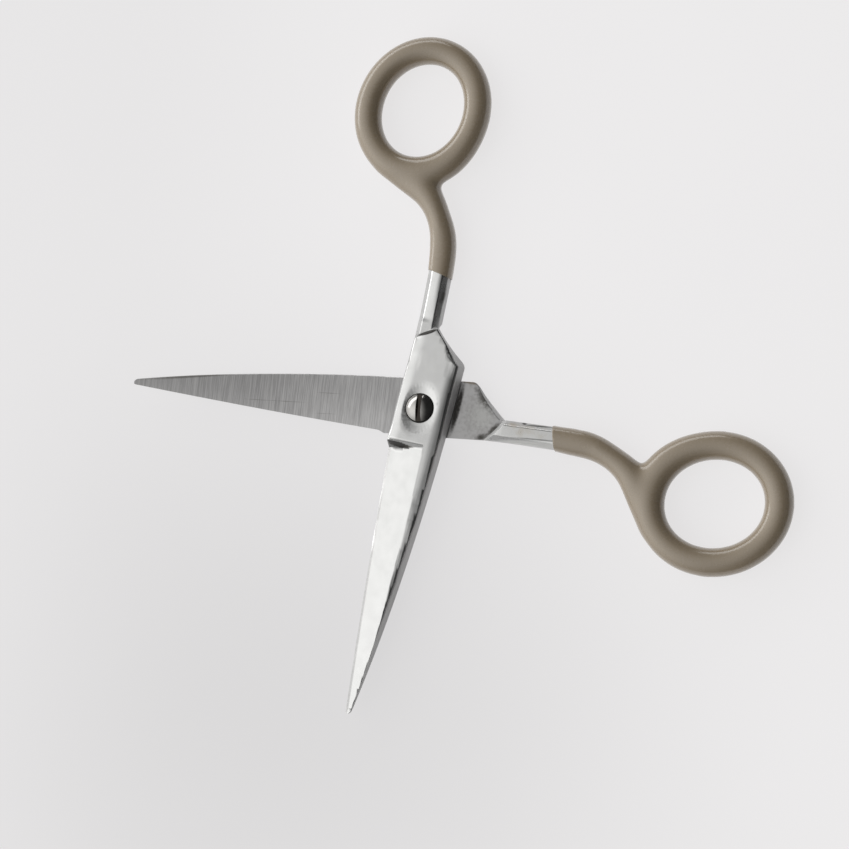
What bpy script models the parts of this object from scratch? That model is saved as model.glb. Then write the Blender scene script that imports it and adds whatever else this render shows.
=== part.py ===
"""Small needlework scissors with dipped handles, lying open on a flat surface.

Two forged steel halves turn on one slotted screw. Both come from the same functions: a
half is modelled in its own frame, with +X from the pivot to the point, +Y towards the
cutting edge, and the ground inner face at z = 0 with the steel below it. The shank and
the finger ring straddle that plane. The back half lies as modelled. The front half is
turned over, and stands open about the screw. All sizes are in metres.
"""

import math
from collections import namedtuple

import bmesh
import bpy
from mathutils import Matrix, Vector

# The pair
OPEN_ANGLE = math.radians(82.15)
INNER_GAP = 0.0003
BACK_HANDLE_SET = math.radians(4.2)
FRONT_HANDLE_SET = math.radians(-0.2)

# The boss round the screw, and the shoulder where the shank starts
BOSS_THICKNESS = 0.0028
BOSS_EDGE_SIDE = 0.00525
BOSS_END_SIDE = 0.00488
BOSS_NARROWS = -0.0040
SPINE_CORNER = Vector((-0.0103, -0.00635))
SPINE_CORNER_ROUND = 0.0008
SLOPE_FOOT = Vector((-0.0162, 0.0005))
SLOPE_HOLLOW = 0.0004
INNER_SHOULDER = Vector((-0.0150, 0.0025))
INNER_SHOULDER_ANGLE = math.radians(48.5)
INNER_SHOULDER_SLOPE = 0.45
OUTER_SHOULDER = Vector((-0.01455, 0.0022))
OUTER_SHOULDER_ANGLE = math.radians(56)
OUTER_SHOULDER_SLOPE = 0.90

# The forged walls: how far each leans in for each unit of depth, and its rounded edge
SPINE_DRAFT = 0.34
EDGE_SIDE_DRAFT = 0.16
SPINE_ROUND = 0.0011
SLOPE_ROUND = 0.0003
SLOPE_DRAFT_END = 0.6
EDGE_SIDE_ROUND = 0.0006
FULL_WALL_WIDTH = 0.0040
INNER_CHAMFER = 0.00012
SLOPE_CHAMFER = 0.0005
SLOPE_CHAMFER_START = 0.25

# The blade, ground on its outer side from the plunge line to the point
BLADE_LENGTH = 0.0614
SPINE_ROOT = Vector((0.0050, -0.00605))
SPINE_PULL = Vector((0.0370, -0.00493))
POINT_LENGTH = 0.0012
POINT_SPINE = 0.0010
POINT_EDGE = 0.00034
POINT_OFFSET = -0.0001
HEEL_PEAK = Vector((0.0072, 0.00538))
HEEL_LENGTH = 0.0030
EDGE_START = Vector((0.0089, 0.00480))
EDGE_BELLY = 0.0004
EDGE_LAND = 0.00012
GRIND_SLOPE = 0.36
PLUNGE = 0.00714
PLUNGE_SKEW = 0.054
PLUNGE_SLOPE = 0.50
THINNING_END = 0.0350
THINNING = 0.00075

# The shank, and the neck that flares into the ring: x, y and half-width of the coated form
SHANK_ROOT = Vector((-0.0125, 0.00270, 0.00228))
SHANK_START = Vector((-0.0165, 0.00282, 0.00233))
SHANK_MIDDLE = Vector((-0.0215, 0.00305, 0.00234))
GRIP_MOUTH = Vector((-0.0270, 0.00332, 0.00238))
NECK = (
    Vector((-0.0312, 0.00385, 0.00262)),
    Vector((-0.0350, 0.00485, 0.00258)),
    Vector((-0.0386, 0.00688, 0.00245)),
    Vector((-0.0415, 0.00928, 0.00280)),
)
SHANK_HALF_DEPTH = 0.00247
SHANK_FACET = 0.00105
BEND_START = -0.0285
BEND_LENGTH = 0.0050

# The ring, and the neck's end against it: angle round the ring, distance out, half-width
RING_CENTRE = Vector((-0.05830, 0.01510))
RING_HALF_LENGTH = 0.0124
RING_HALF_WIDTH = 0.0112
RING_TILT = math.radians(8.3)
RING_STEPS = 36
RING_SWELL = 0.0009
RING_SWELL_ANGLE = math.radians(-33)
RING_SWELL_SPREAD = math.radians(60)
RING_JOIN_HALF_DEPTH = 0.0012
RING_JOIN = (
    (math.radians(-22), 0.00310, 0.00322),
    (math.radians(-10), 0.00133, 0.00315),
    (math.radians(5), 0.00045, 0.00290),
    (math.radians(18), 0.00035, 0.00280),
    (math.radians(32), 0.00015, 0.00225),
)

# The dipped coat over the handle
GRIP_RADIUS = 0.00283
COAT = 0.0005
COAT_AT_MOUTH = 0.0002
COAT_FIT = 0.00006
MOUTH_TILT = math.radians(15)
FRONT_MOUTH_BACK = 0.00024
BACK_MOUTH_BACK = 0.0

# The screw and its seat
SCREW_HEAD_RADIUS = 0.00264
SCREW_HEAD_RIM = 0.00085
SCREW_DOME = 0.0010
SCREW_SHAFT_RADIUS = 0.0015
SCREW_FIT = 0.0001
HEAD_FIT = 0.00028
HEAD_SEAT_DEPTH = 0.0010
SLOT_WIDTH = 0.0010
SLOT_DEPTH = 0.0010
SLOT_ANGLE = math.radians(92)
DISH_RADIUS = 0.0035
DISH_LENGTH = 1.45
DISH_OFFSET = 0.00015
DISH_DEPTH = 0.00045
DISH_RIM = 0.0010
DISH_STEPS = 4
TURN_STEPS = 32
DOME_STEPS = 6

# How far a cut runs past a surface, and the spare metal above the inner face before it is ground
OVERCUT = 0.001
TRIM = 0.00025

# Where sections stand: round the spine's rounded edge, along the point, and along the grind
SPINE_ROUND_SHARES = (0.0, 0.5, 0.8, 0.95)
POINT_SHARES = (0.45, 0.75, 0.93)
BLADE_STEPS = 16
GRIND_STEPS = 14

# Where the coat's mouth comes in the handle's table of stations
MOUTH = 3

Half = namedtuple("Half", "side handle_set mouth_back seated")


def clear_scene():
    for obj in list(bpy.data.objects):
        bpy.data.objects.remove(obj, do_unlink=True)


def collection(name):
    """A new collection in the scene."""
    group = bpy.data.collections.new(name)
    bpy.context.scene.collection.children.link(group)
    return group


def material(name, colour, roughness, metallic):
    mat = bpy.data.materials.new(name)
    mat.use_nodes = True
    shader = mat.node_tree.nodes["Principled BSDF"]
    shader.inputs["Base Color"].default_value = (*colour, 1.0)
    shader.inputs["Roughness"].default_value = roughness
    shader.inputs["Metallic"].default_value = metallic
    mat.diffuse_color = (*colour, 1.0)
    return mat


def add_object(name, bm, group):
    """Turn a bmesh into an object of a collection, its faces pointing out."""
    bmesh.ops.recalc_face_normals(bm, faces=bm.faces)
    mesh = bpy.data.meshes.new(name)
    bm.to_mesh(mesh)
    bm.free()
    obj = bpy.data.objects.new(name, mesh)
    group.objects.link(obj)
    return obj


def add_helper(name, bm, group):
    """An object that only shapes others."""
    obj = add_object(name, bm, group)
    obj.hide_render = True
    obj.display_type = "WIRE"
    return obj


def combine(target, operation, helper):
    """Add the helper to the target, or cut it away. The helper then rides on the target."""
    helper.parent = target
    step = target.modifiers.new(f"{operation.lower()} {helper.name}", "BOOLEAN")
    step.operation = operation
    step.solver = "EXACT"
    step.object = helper


def finish(obj, mat):
    obj.data.materials.clear()
    obj.data.materials.append(mat)
    obj.data.shade_smooth()
    obj.data.set_sharp_from_angle(angle=math.radians(28))


def loft(bm, sections, closed=False):
    """Skin a row of sections that have equal counts of points, capping open ends."""
    loops = [[bm.verts.new(point) for point in section] for section in sections]
    pairs = list(zip(loops, loops[1:]))
    if closed:
        pairs.append((loops[-1], loops[0]))
    for here, there in pairs:
        for i in range(len(here)):
            j = (i + 1) % len(here)
            bm.faces.new((here[i], here[j], there[j], there[i]))
    if not closed:
        bm.faces.new(loops[0])
        bm.faces.new(loops[-1])


def mix(low, high, share):
    return low + (high - low) * share


def ease(share):
    """A share from 0 to 1 that starts and ends gently."""
    share = min(max(share, 0.0), 1.0)
    return share * share * (3 - 2 * share)


def bow(start, pull, end, x):
    """The y at x on the parabola from start to end that leaves towards pull."""
    a = start.x - 2 * pull.x + end.x
    b = 2 * (pull.x - start.x)
    c = start.x - x
    if abs(a) < 1e-9:
        t = -c / b
    else:
        t = (-b + math.sqrt(max(b * b - 4 * a * c, 0.0))) / (2 * a)
    return mix(mix(start.y, pull.y, t), mix(pull.y, end.y, t), t)


def nose_share(x):
    """How much of its width the point still has at x: 1 where its rounding starts, 0 at the end."""
    past = (x - BLADE_LENGTH + POINT_LENGTH) / POINT_LENGTH
    return math.sqrt(max(1 - max(past, 0.0) ** 2, 0.0))


def spine_y(x):
    """The side away from the cutting edge, at the inner face."""
    hollow = (SLOPE_FOOT + SPINE_CORNER) / 2 + Vector((0.0, 2 * SLOPE_HOLLOW))
    back = (SPINE_ROOT.y - SPINE_CORNER.y) / (SPINE_ROOT.x - SPINE_CORNER.x)
    nose = Vector((BLADE_LENGTH - POINT_LENGTH, POINT_OFFSET - POINT_SPINE))
    if abs(x - SPINE_CORNER.x) < SPINE_CORNER_ROUND:
        start = SPINE_CORNER - Vector((SPINE_CORNER_ROUND, 0.0))
        start.y = bow(SLOPE_FOOT, hollow, SPINE_CORNER, start.x)
        end = SPINE_CORNER + Vector((SPINE_CORNER_ROUND, back * SPINE_CORNER_ROUND))
        return bow(start, SPINE_CORNER, end, x)
    if x < SPINE_CORNER.x:
        return bow(SLOPE_FOOT, hollow, SPINE_CORNER, x)
    if x < SPINE_ROOT.x:
        return SPINE_CORNER.y + back * (x - SPINE_CORNER.x)
    if x < nose.x:
        return bow(SPINE_ROOT, SPINE_PULL, nose, x)
    return POINT_OFFSET - POINT_SPINE * nose_share(x)


def cutting_line(x):
    """The line of the cutting edge, carried on past the heel."""
    nose = Vector((BLADE_LENGTH - POINT_LENGTH, POINT_OFFSET + POINT_EDGE))
    if x >= nose.x:
        return POINT_OFFSET + POINT_EDGE * nose_share(x)
    middle = (EDGE_START + nose) / 2 + Vector((0, EDGE_BELLY))
    return bow(EDGE_START, middle, nose, x)


def edge_y(x):
    """The cutting side at the inner face: boss, heel lobe, then the edge itself."""
    if x < BOSS_NARROWS:
        share = (BOSS_NARROWS - x) / (BOSS_NARROWS - SLOPE_FOOT.x)
        return mix(BOSS_EDGE_SIDE, BOSS_END_SIDE, share)
    if x <= HEEL_PEAK.x:
        share = 1 + (x - HEEL_PEAK.x) / HEEL_LENGTH
        return mix(BOSS_EDGE_SIDE, HEEL_PEAK.y, ease(share))
    if x < EDGE_START.x:
        share = (x - HEEL_PEAK.x) / (EDGE_START.x - HEEL_PEAK.x)
        return mix(HEEL_PEAK.y, EDGE_START.y, ease(share))
    return cutting_line(x)


def blank_depth(x):
    """Depth of the forged outer face, which thins towards the point."""
    share = (x - HEEL_PEAK.x) / (THINNING_END - HEEL_PEAK.x)
    share = min(max(share, 0.0), 1.0)
    return BOSS_THICKNESS - THINNING * share * share


def slope_share(x):
    """0 along the spine, rising to 1 at the foot of the slope behind its corner."""
    return max(SPINE_CORNER.x - x, 0.0) / (SPINE_CORNER.x - SLOPE_FOOT.x)


def wall_stretch(x):
    """How much longer the spine wall's lean and round are, cut straight across the half."""
    run = SPINE_CORNER - SLOPE_FOOT
    past = (SPINE_CORNER.x + SPINE_CORNER_ROUND - x) / (2 * SPINE_CORNER_ROUND)
    return mix(1.0, run.length / abs(run.x), ease(past))


def half_section(x):
    """One cross-section of the forged blank at x, from the cutting side round to the spine."""
    edge, foot, full = edge_y(x), spine_y(x), blank_depth(x)
    narrow = min((edge - foot) / FULL_WALL_WIDTH, 1.0)
    fade = ease(slope_share(x) / SLOPE_DRAFT_END)
    round_width = mix(SPINE_ROUND, SLOPE_ROUND, fade) * narrow
    crease_depth = (full - mix(SPINE_ROUND, SLOPE_ROUND, fade)) * narrow
    crease = foot + mix(SPINE_DRAFT, 0.0, fade) * crease_depth * wall_stretch(x)
    face = crease + round_width * wall_stretch(x)
    chamfer = mix(INNER_CHAMFER, SLOPE_CHAMFER, ease(slope_share(x) / SLOPE_CHAMFER_START)) * wall_stretch(x)
    chamfer *= narrow
    lip_round = EDGE_SIDE_ROUND * narrow
    lip = edge - EDGE_SIDE_DRAFT * (full - lip_round) * narrow
    turn = math.sqrt(0.5)
    outline = [
        (edge, -TRIM),
        (lip, full - lip_round),
        (lip - lip_round * (1 - turn), full - lip_round * (1 - turn)),
        (lip - lip_round, full),
    ]
    for share in SPINE_ROUND_SHARES:
        rise = math.sqrt(1 - share * share)
        outline.append((mix(face, crease, share), mix(crease_depth, full, rise)))
    outline += [
        (crease, crease_depth),
        (foot, chamfer),
        (foot + chamfer, 0.0),
        (foot + chamfer, -TRIM),
    ]
    return [Vector((x, y, -depth)) for y, depth in outline]


def steps(start, end, count):
    """Count evenly spaced values after start, ending at end."""
    return [mix(start, end, (i + 1) / count) for i in range(count)]


def stations():
    """Where the blank's cross-sections stand, close together where its outline turns."""
    slope_end = SPINE_CORNER.x - SPINE_CORNER_ROUND
    spine_start = SPINE_CORNER.x + SPINE_CORNER_ROUND
    lobe = HEEL_PEAK.x - HEEL_LENGTH
    nose = BLADE_LENGTH - POINT_LENGTH
    return (
        [SLOPE_FOOT.x]
        + steps(SLOPE_FOOT.x, slope_end, 5)
        + steps(slope_end, spine_start, 6)
        + steps(spine_start, lobe, 3)
        + steps(lobe, HEEL_PEAK.x, 4)
        + steps(HEEL_PEAK.x, EDGE_START.x, 4)
        + steps(EDGE_START.x, nose, BLADE_STEPS)
        + [nose + POINT_LENGTH * share for share in POINT_SHARES]
    )


def add_blade_body(name, group):
    """The blank of boss and blade in one loft, ended by the sloping step behind the boss."""
    bm = bmesh.new()
    loft(bm, [half_section(x) for x in stations()])
    bmesh.ops.recalc_face_normals(bm, faces=bm.faces)
    along = Vector((math.cos(OUTER_SHOULDER_ANGLE), math.sin(OUTER_SHOULDER_ANGLE), 0.0))
    handlewards = Vector((-along.y, along.x, 0.0))
    down = Vector((0.0, 0.0, -1.0)) - handlewards * OUTER_SHOULDER_SLOPE
    normal = down.cross(along)
    if normal.dot(handlewards) < 0:
        normal.negate()
    cut = bmesh.ops.bisect_plane(
        bm,
        geom=bm.verts[:] + bm.edges[:] + bm.faces[:],
        plane_co=(OUTER_SHOULDER.x, OUTER_SHOULDER.y, -BOSS_THICKNESS),
        plane_no=normal,
        clear_outer=True,
    )
    rim = [item for item in cut["geom_cut"] if isinstance(item, bmesh.types.BMEdge)]
    bmesh.ops.contextual_create(bm, geom=rim)
    return add_object(name, bm, group)


def add_grind(name, group):
    """The cut that hollows the blade's outer side from the plunge to the point."""
    reach = (BOSS_THICKNESS + OVERCUT - EDGE_LAND) / GRIND_SLOPE
    corners = (
        (OVERCUT, EDGE_LAND - OVERCUT * GRIND_SLOPE),
        (-reach, BOSS_THICKNESS + OVERCUT),
        (OVERCUT, BOSS_THICKNESS + OVERCUT),
    )
    plunge = []
    for off, depth in corners:
        y = EDGE_START.y + off
        x = PLUNGE + PLUNGE_SKEW * y + PLUNGE_SLOPE * (BOSS_THICKNESS - depth)
        plunge.append(Vector((x, y, -depth)))
    nose = BLADE_LENGTH - POINT_LENGTH
    past_wall = max(point.x for point in plunge)
    rows = [plunge]
    for x in steps(past_wall, nose, GRIND_STEPS) + [BLADE_LENGTH + OVERCUT]:
        middle = cutting_line(min(x, nose))
        rows.append([Vector((x, middle + off, -depth)) for off, depth in corners])
    bm = bmesh.new()
    loft(bm, rows)
    return add_helper(name, bm, group)


def ring_point(angle, out=0.0):
    """A point of the ring's centre line, or off it by out, and its direction along the ring."""
    turn = Matrix.Rotation(RING_TILT, 2)
    along = Vector((-RING_HALF_LENGTH * math.sin(angle), RING_HALF_WIDTH * math.cos(angle)))
    along.normalize()
    at = Vector((RING_HALF_LENGTH * math.cos(angle), RING_HALF_WIDTH * math.sin(angle)))
    at += Vector((along.y, -along.x)) * out
    return RING_CENTRE + turn @ at


def handle_table():
    """The handle's stations from the boss to the ring: x, y and coated half-width."""
    table = [SHANK_ROOT, SHANK_START, SHANK_MIDDLE, GRIP_MOUTH, *NECK]
    for angle, out, half_width in RING_JOIN:
        at = ring_point(angle, out)
        table.append(Vector((at.x, at.y, half_width)))
    return table


def through(table, i, t):
    """A point on the smooth curve through the table, between entries i and i + 1."""
    last = len(table) - 1
    p0, p1 = table[max(i - 1, 0)], table[i]
    p2, p3 = table[min(i + 1, last)], table[min(i + 2, last)]
    a = 2 * p1
    b = p2 - p0
    c = 2 * p0 - 5 * p1 + 4 * p2 - p3
    d = 3 * p1 - p0 - 3 * p2 + p3
    return (a + b * t + c * t * t + d * t * t * t) / 2


def bend(point, handle_set):
    """Swing a handle point about the bend behind the coat's mouth, as each handle is set."""
    share = ease((BEND_START - point.x) / BEND_LENGTH)
    pivot = Vector((BEND_START, GRIP_MOUTH.y))
    turn = Matrix.Rotation(handle_set * share, 2)
    return pivot + turn @ (point.to_2d() - pivot)


def facet_section(centre, across, half_width, half_depth, roundness, skew=0.0, back=0.0):
    """Sixteen points round a handle: a chamfered bar at roundness 0, an oval at 1."""
    barred = [
        (half_width, 0.0),
        (half_width, half_depth - SHANK_FACET),
        (half_width - SHANK_FACET / 2, half_depth - SHANK_FACET / 2),
        (half_width - SHANK_FACET, half_depth),
    ]
    quarter = []
    for i, (u, w) in enumerate(barred):
        angle = i * math.pi / 8
        oval = half_width * math.cos(angle), half_depth * math.sin(angle)
        quarter.append((mix(u, oval[0], roundness), mix(w, oval[1], roundness)))
    side = quarter + [(0.0, half_depth)] + [(-u, w) for u, w in reversed(quarter)]
    full = side + [(u, -w) for u, w in reversed(side[1:-1])]
    along = Vector((across.y, -across.x))
    points = []
    for u, w in full:
        flat = centre + across * u + along * (skew * u + back)
        points.append(Vector((flat.x, flat.y, w + INNER_GAP / 2)))
    return points


def neck_sections(first, inset_of, handle_set, mouth_tilt=0.0, mouth_back=0.0):
    """Sections from table entry first to the ring, inset from the coated form."""
    table = handle_table()
    mouth, full, last = MOUTH, len(NECK), len(table) - 1
    rows = []
    for i in range(first, last):
        count = 2 if i >= mouth else 1
        rows += [(i + k / count, through(table, i, k / count)) for k in range(count)]
    rows.append((last, table[last]))
    centres = [bend(point, handle_set) for _, point in rows]
    sections = []
    for k, (where, point) in enumerate(rows):
        ahead = centres[min(k + 1, len(rows) - 1)] - centres[max(k - 1, 0)]
        ahead.normalize()
        across = Vector((ahead.y, -ahead.x))
        grown = ease((where - mouth) / 2)
        inset = inset_of(grown)
        depth = mix(SHANK_HALF_DEPTH, GRIP_RADIUS, ease((where - mouth) / full))
        sunk = ease((where - mouth - full) / (last - mouth - full))
        depth = mix(depth, RING_JOIN_HALF_DEPTH, sunk)
        skew, back = (-math.tan(mouth_tilt), mouth_back) if k == 0 else (0.0, 0.0)
        roundness = ease((where - mouth) / (full - 1))
        size = point.z - inset, depth - inset
        sections.append(facet_section(centres[k], across, *size, roundness, skew, back))
    return sections


def ring_swell(angle):
    """Extra width on the ring's outer side, which fills the crotch against the neck."""
    off = abs(math.remainder(angle - RING_SWELL_ANGLE, 2 * math.pi))
    return RING_SWELL * ease(1 - off / RING_SWELL_SPREAD)


def ring_sections(inset, handle_set):
    """The closed finger ring, its tube inset from the coated size."""
    angles = [2 * math.pi * i / RING_STEPS for i in range(RING_STEPS)]
    centres = [bend(ring_point(angle, ring_swell(angle) / 2), handle_set) for angle in angles]
    sections = []
    for i, (angle, centre) in enumerate(zip(angles, centres)):
        ahead = centres[(i + 1) % RING_STEPS] - centres[i - 1]
        ahead.normalize()
        across = Vector((ahead.y, -ahead.x))
        half_depth = GRIP_RADIUS - inset
        half_width = half_depth + ring_swell(angle) / 2
        sections.append(facet_section(centre, across, half_width, half_depth, 1.0))
    return sections


def no_inset(grown):
    """The coated form itself."""
    return 0.0


def coat_inset(grown):
    """Thickness of the coat: thin at its mouth, full once grown is 1."""
    return mix(COAT_AT_MOUTH, COAT, grown)


def add_handle_bar(name, group, first, inset_of, handle_set):
    bm = bmesh.new()
    loft(bm, neck_sections(first, inset_of, handle_set))
    return add_helper(name, bm, group)


def add_ring(name, group, inset, handle_set):
    bm = bmesh.new()
    loft(bm, ring_sections(inset, handle_set), closed=True)
    return add_helper(name, bm, group)


def add_inner_relief(name, group):
    """The cut that leaves boss and blade flat at the inner face, as far back as the shoulder."""
    reach = BLADE_LENGTH * 2
    height = SHANK_HALF_DEPTH * 2
    bm = bmesh.new()
    bmesh.ops.create_cube(bm, size=1.0, matrix=Matrix.Translation((0.5, 0.0, 0.5)))
    bmesh.ops.scale(bm, vec=(reach, reach, height), verts=bm.verts)
    for vert in bm.verts:
        if vert.co.x < reach / 2:
            vert.co.x -= INNER_SHOULDER_SLOPE * vert.co.z
    turn = Matrix.Rotation(INNER_SHOULDER_ANGLE - math.pi / 2, 4, "Z")
    bmesh.ops.transform(bm, matrix=turn, verts=bm.verts)
    bmesh.ops.translate(bm, vec=INNER_SHOULDER.to_3d(), verts=bm.verts)
    return add_helper(name, bm, group)


def turned(bm, profile):
    """Spin a profile of (radius, z) points, from the axis to the axis, into a closed solid."""
    points = [Vector((radius, 0.0, z)) for radius, z in profile]
    verts = [bm.verts.new(point) for point in points]
    edges = [bm.edges.new(pair) for pair in zip(verts, verts[1:])]
    bmesh.ops.spin(
        bm,
        geom=verts + edges,
        axis=(0, 0, 1),
        cent=(0, 0, 0),
        angle=2 * math.pi,
        steps=TURN_STEPS,
        use_merge=True,
    )
    bmesh.ops.remove_doubles(bm, verts=bm.verts, dist=1e-6)


def add_screw_hole(name, group, seated):
    """The hole through a half, with the head's seat and the dish round it where it is seated."""
    hole = SCREW_SHAFT_RADIUS + SCREW_FIT
    below = -BOSS_THICKNESS - OVERCUT
    seat = HEAD_SEAT_DEPTH - BOSS_THICKNESS
    bm = bmesh.new()
    profile = [(0.0, OVERCUT), (hole, OVERCUT)]
    if seated:
        wide = SCREW_HEAD_RADIUS + HEAD_FIT
        profile += [(hole, seat), (wide, seat), (wide, below)]
    else:
        profile += [(hole, below)]
    turned(bm, profile + [(0.0, below)])
    return add_helper(name, bm, group)


def add_dish(name, group):
    """The oval hollow ground round the screw head."""
    face = -BOSS_THICKNESS
    inner = DISH_RADIUS - DISH_RIM
    profile = [(0.0, face + DISH_DEPTH)]
    for i in range(DISH_STEPS + 1):
        share = i / DISH_STEPS
        profile.append((mix(inner, DISH_RADIUS, share), face + DISH_DEPTH * (1 - share * share)))
    profile += [(DISH_RADIUS + DISH_RIM, face - OVERCUT), (0.0, face - OVERCUT)]
    bm = bmesh.new()
    turned(bm, profile)
    bmesh.ops.scale(bm, vec=(DISH_LENGTH, 1.0, 1.0), verts=bm.verts)
    bmesh.ops.translate(bm, vec=(DISH_OFFSET, 0.0, 0.0), verts=bm.verts)
    return add_helper(name, bm, group)


def add_blade(half, group, cutters, mat):
    """One forged half: blade, boss, shank and the ring's steel core."""
    side, handle_set = half.side, half.handle_set
    blade = add_blade_body(f"{side}_blade", group)
    combine(blade, "DIFFERENCE", add_grind(f"{side}_grind", cutters))
    shank = add_handle_bar(f"{side}_shank", cutters, 0, coat_inset, handle_set)
    combine(blade, "UNION", shank)
    combine(blade, "UNION", add_ring(f"{side}_ring_core", cutters, COAT, handle_set))
    combine(blade, "DIFFERENCE", add_inner_relief(f"{side}_relief", cutters))
    if half.seated:
        combine(blade, "DIFFERENCE", add_dish(f"{side}_dish", cutters))
    combine(blade, "DIFFERENCE", add_screw_hole(f"{side}_hole", cutters, half.seated))
    finish(blade, mat)
    return blade


def cavity_inset(grown):
    """The coat's inside, a thin fit away from the steel."""
    return coat_inset(grown) - COAT_FIT


def add_grip(half, group, cutters, mat):
    """The dipped coat: the handle's full form less the steel and its fit."""
    side, handle_set = half.side, half.handle_set
    bm = bmesh.new()
    loft(bm, neck_sections(MOUTH, no_inset, handle_set, MOUTH_TILT, half.mouth_back))
    grip = add_object(f"{side}_grip", bm, group)
    combine(grip, "UNION", add_ring(f"{side}_ring_coat", cutters, 0.0, handle_set))
    hollow = add_handle_bar(f"{side}_neck_hollow", cutters, MOUTH - 1, cavity_inset, handle_set)
    combine(grip, "DIFFERENCE", hollow)
    hollow = add_ring(f"{side}_ring_hollow", cutters, COAT - COAT_FIT, handle_set)
    combine(grip, "DIFFERENCE", hollow)
    finish(grip, mat)
    return grip


def add_screw(group, cutters, mat):
    """The pivot screw, its shaft's end flush with the underside of the back half."""
    front_face = 2 * BOSS_THICKNESS + INNER_GAP
    seat = front_face - HEAD_SEAT_DEPTH + SCREW_FIT
    rim = seat + SCREW_HEAD_RIM
    dome = []
    for i in range(DOME_STEPS + 1):
        angle = i * math.pi / 2 / DOME_STEPS
        dome.append((SCREW_HEAD_RADIUS * math.sin(angle), rim + SCREW_DOME * math.cos(angle)))
    shaft = [
        (SCREW_HEAD_RADIUS, seat),
        (SCREW_SHAFT_RADIUS, seat),
        (SCREW_SHAFT_RADIUS, 0.0),
        (0.0, 0.0),
    ]
    bm = bmesh.new()
    turned(bm, dome + shaft)
    screw = add_object("pivot_screw", bm, group)
    bm = bmesh.new()
    bmesh.ops.create_cube(bm, size=1.0)
    size = (SCREW_HEAD_RADIUS * 3, SLOT_WIDTH, SLOT_DEPTH * 2)
    bmesh.ops.scale(bm, vec=size, verts=bm.verts)
    slot = add_helper("screw_slot", bm, cutters)
    slot.location = (0.0, 0.0, rim + SCREW_DOME)
    slot.rotation_euler = (0.0, 0.0, SLOT_ANGLE)
    combine(screw, "DIFFERENCE", slot)
    finish(screw, mat)
    return screw


def add_pivot(group):
    """The empty on the hinge axis that carries the front half, turned over."""
    pivot = bpy.data.objects.new("pivot", None)
    pivot.empty_display_size = BOSS_THICKNESS
    pivot.location = (0.0, 0.0, BOSS_THICKNESS + INNER_GAP)
    pivot.rotation_euler = (0.0, 0.0, OPEN_ANGLE)
    group.objects.link(pivot)
    return pivot


def main():
    clear_scene()
    scissors = collection("scissors")
    cutters = collection("scissors_cutters")
    steel = material("polished_steel", (0.74, 0.74, 0.72), 0.22, 1.0)
    vinyl = material("taupe_vinyl", (0.215, 0.18, 0.138), 0.38, 0.0)
    bright = material("screw_steel", (0.66, 0.64, 0.60), 0.18, 1.0)
    pivot = add_pivot(scissors)
    back = Half("back", BACK_HANDLE_SET, BACK_MOUTH_BACK, False)
    front = Half("front", FRONT_HANDLE_SET, FRONT_MOUTH_BACK, True)
    for piece in (
        add_blade(back, scissors, cutters, steel),
        add_grip(back, scissors, cutters, vinyl),
    ):
        piece.location = (0.0, 0.0, BOSS_THICKNESS)
    for piece in (
        add_blade(front, scissors, cutters, steel),
        add_grip(front, scissors, cutters, vinyl),
    ):
        piece.parent = pivot
        piece.rotation_euler = (math.pi, 0.0, 0.0)
    add_screw(scissors, cutters, bright)


main()
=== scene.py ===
"""Small needlework scissors with dipped handles, dressed and lit for a plain picture.

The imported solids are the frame. Each forged half is a copy of its solid with its edges
softened and its outer face crowned, each vinyl coat is its solid made smooth and then
hollowed, and the pivot screw is turned afresh. A half's own frame has x from the pivot to
the point, y towards the cutting edge and z out of its outer face. Directions called east
and north are the picture's right and up. Lengths are in metres.
"""

import logging
from dataclasses import dataclass
from enum import Enum
from math import asin, cos, hypot, pi, radians, sin

import bmesh
import bpy
from mathutils import Matrix, Vector


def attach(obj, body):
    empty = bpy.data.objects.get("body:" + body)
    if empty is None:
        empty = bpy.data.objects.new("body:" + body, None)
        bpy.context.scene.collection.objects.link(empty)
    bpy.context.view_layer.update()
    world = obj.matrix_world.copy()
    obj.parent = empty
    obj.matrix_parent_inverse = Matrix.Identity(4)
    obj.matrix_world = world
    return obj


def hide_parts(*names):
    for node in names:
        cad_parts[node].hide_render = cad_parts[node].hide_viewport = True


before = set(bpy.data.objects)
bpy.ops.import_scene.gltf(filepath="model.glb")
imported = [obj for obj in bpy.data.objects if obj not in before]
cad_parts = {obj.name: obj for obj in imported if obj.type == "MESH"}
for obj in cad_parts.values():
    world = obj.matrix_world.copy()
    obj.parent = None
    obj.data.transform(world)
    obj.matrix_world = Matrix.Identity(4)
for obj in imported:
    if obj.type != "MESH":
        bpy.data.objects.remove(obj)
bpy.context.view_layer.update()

MM = 0.001
PICTURE_TURN = radians(173.24)
PIVOT_HEIGHT = 2.95 * MM
OPEN_ANGLE = radians(82.15)
BACK_INNER_FACE = 2.8 * MM
FRONT_INNER_FACE = 3.1 * MM
WELD = 0.001 * MM
CUT_SLACK = 0.0005 * MM
SENSOR = 36.0
NOT_TURNED = (0.0, 0.0, 0.0)
NOT_SCALED = (1.0, 1.0, 1.0)

# A smooth step of a value: where it starts and ends, and the results below and above it.
Step = tuple[float, float, float, float]

log = logging.getLogger("scissors")


class Mode(Enum):
    """How a maths node combines its inputs."""

    ADD = "ADD"
    SUBTRACT = "SUBTRACT"
    MULTIPLY = "MULTIPLY"
    ABSOLUTE = "ABSOLUTE"
    POWER = "POWER"


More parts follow.
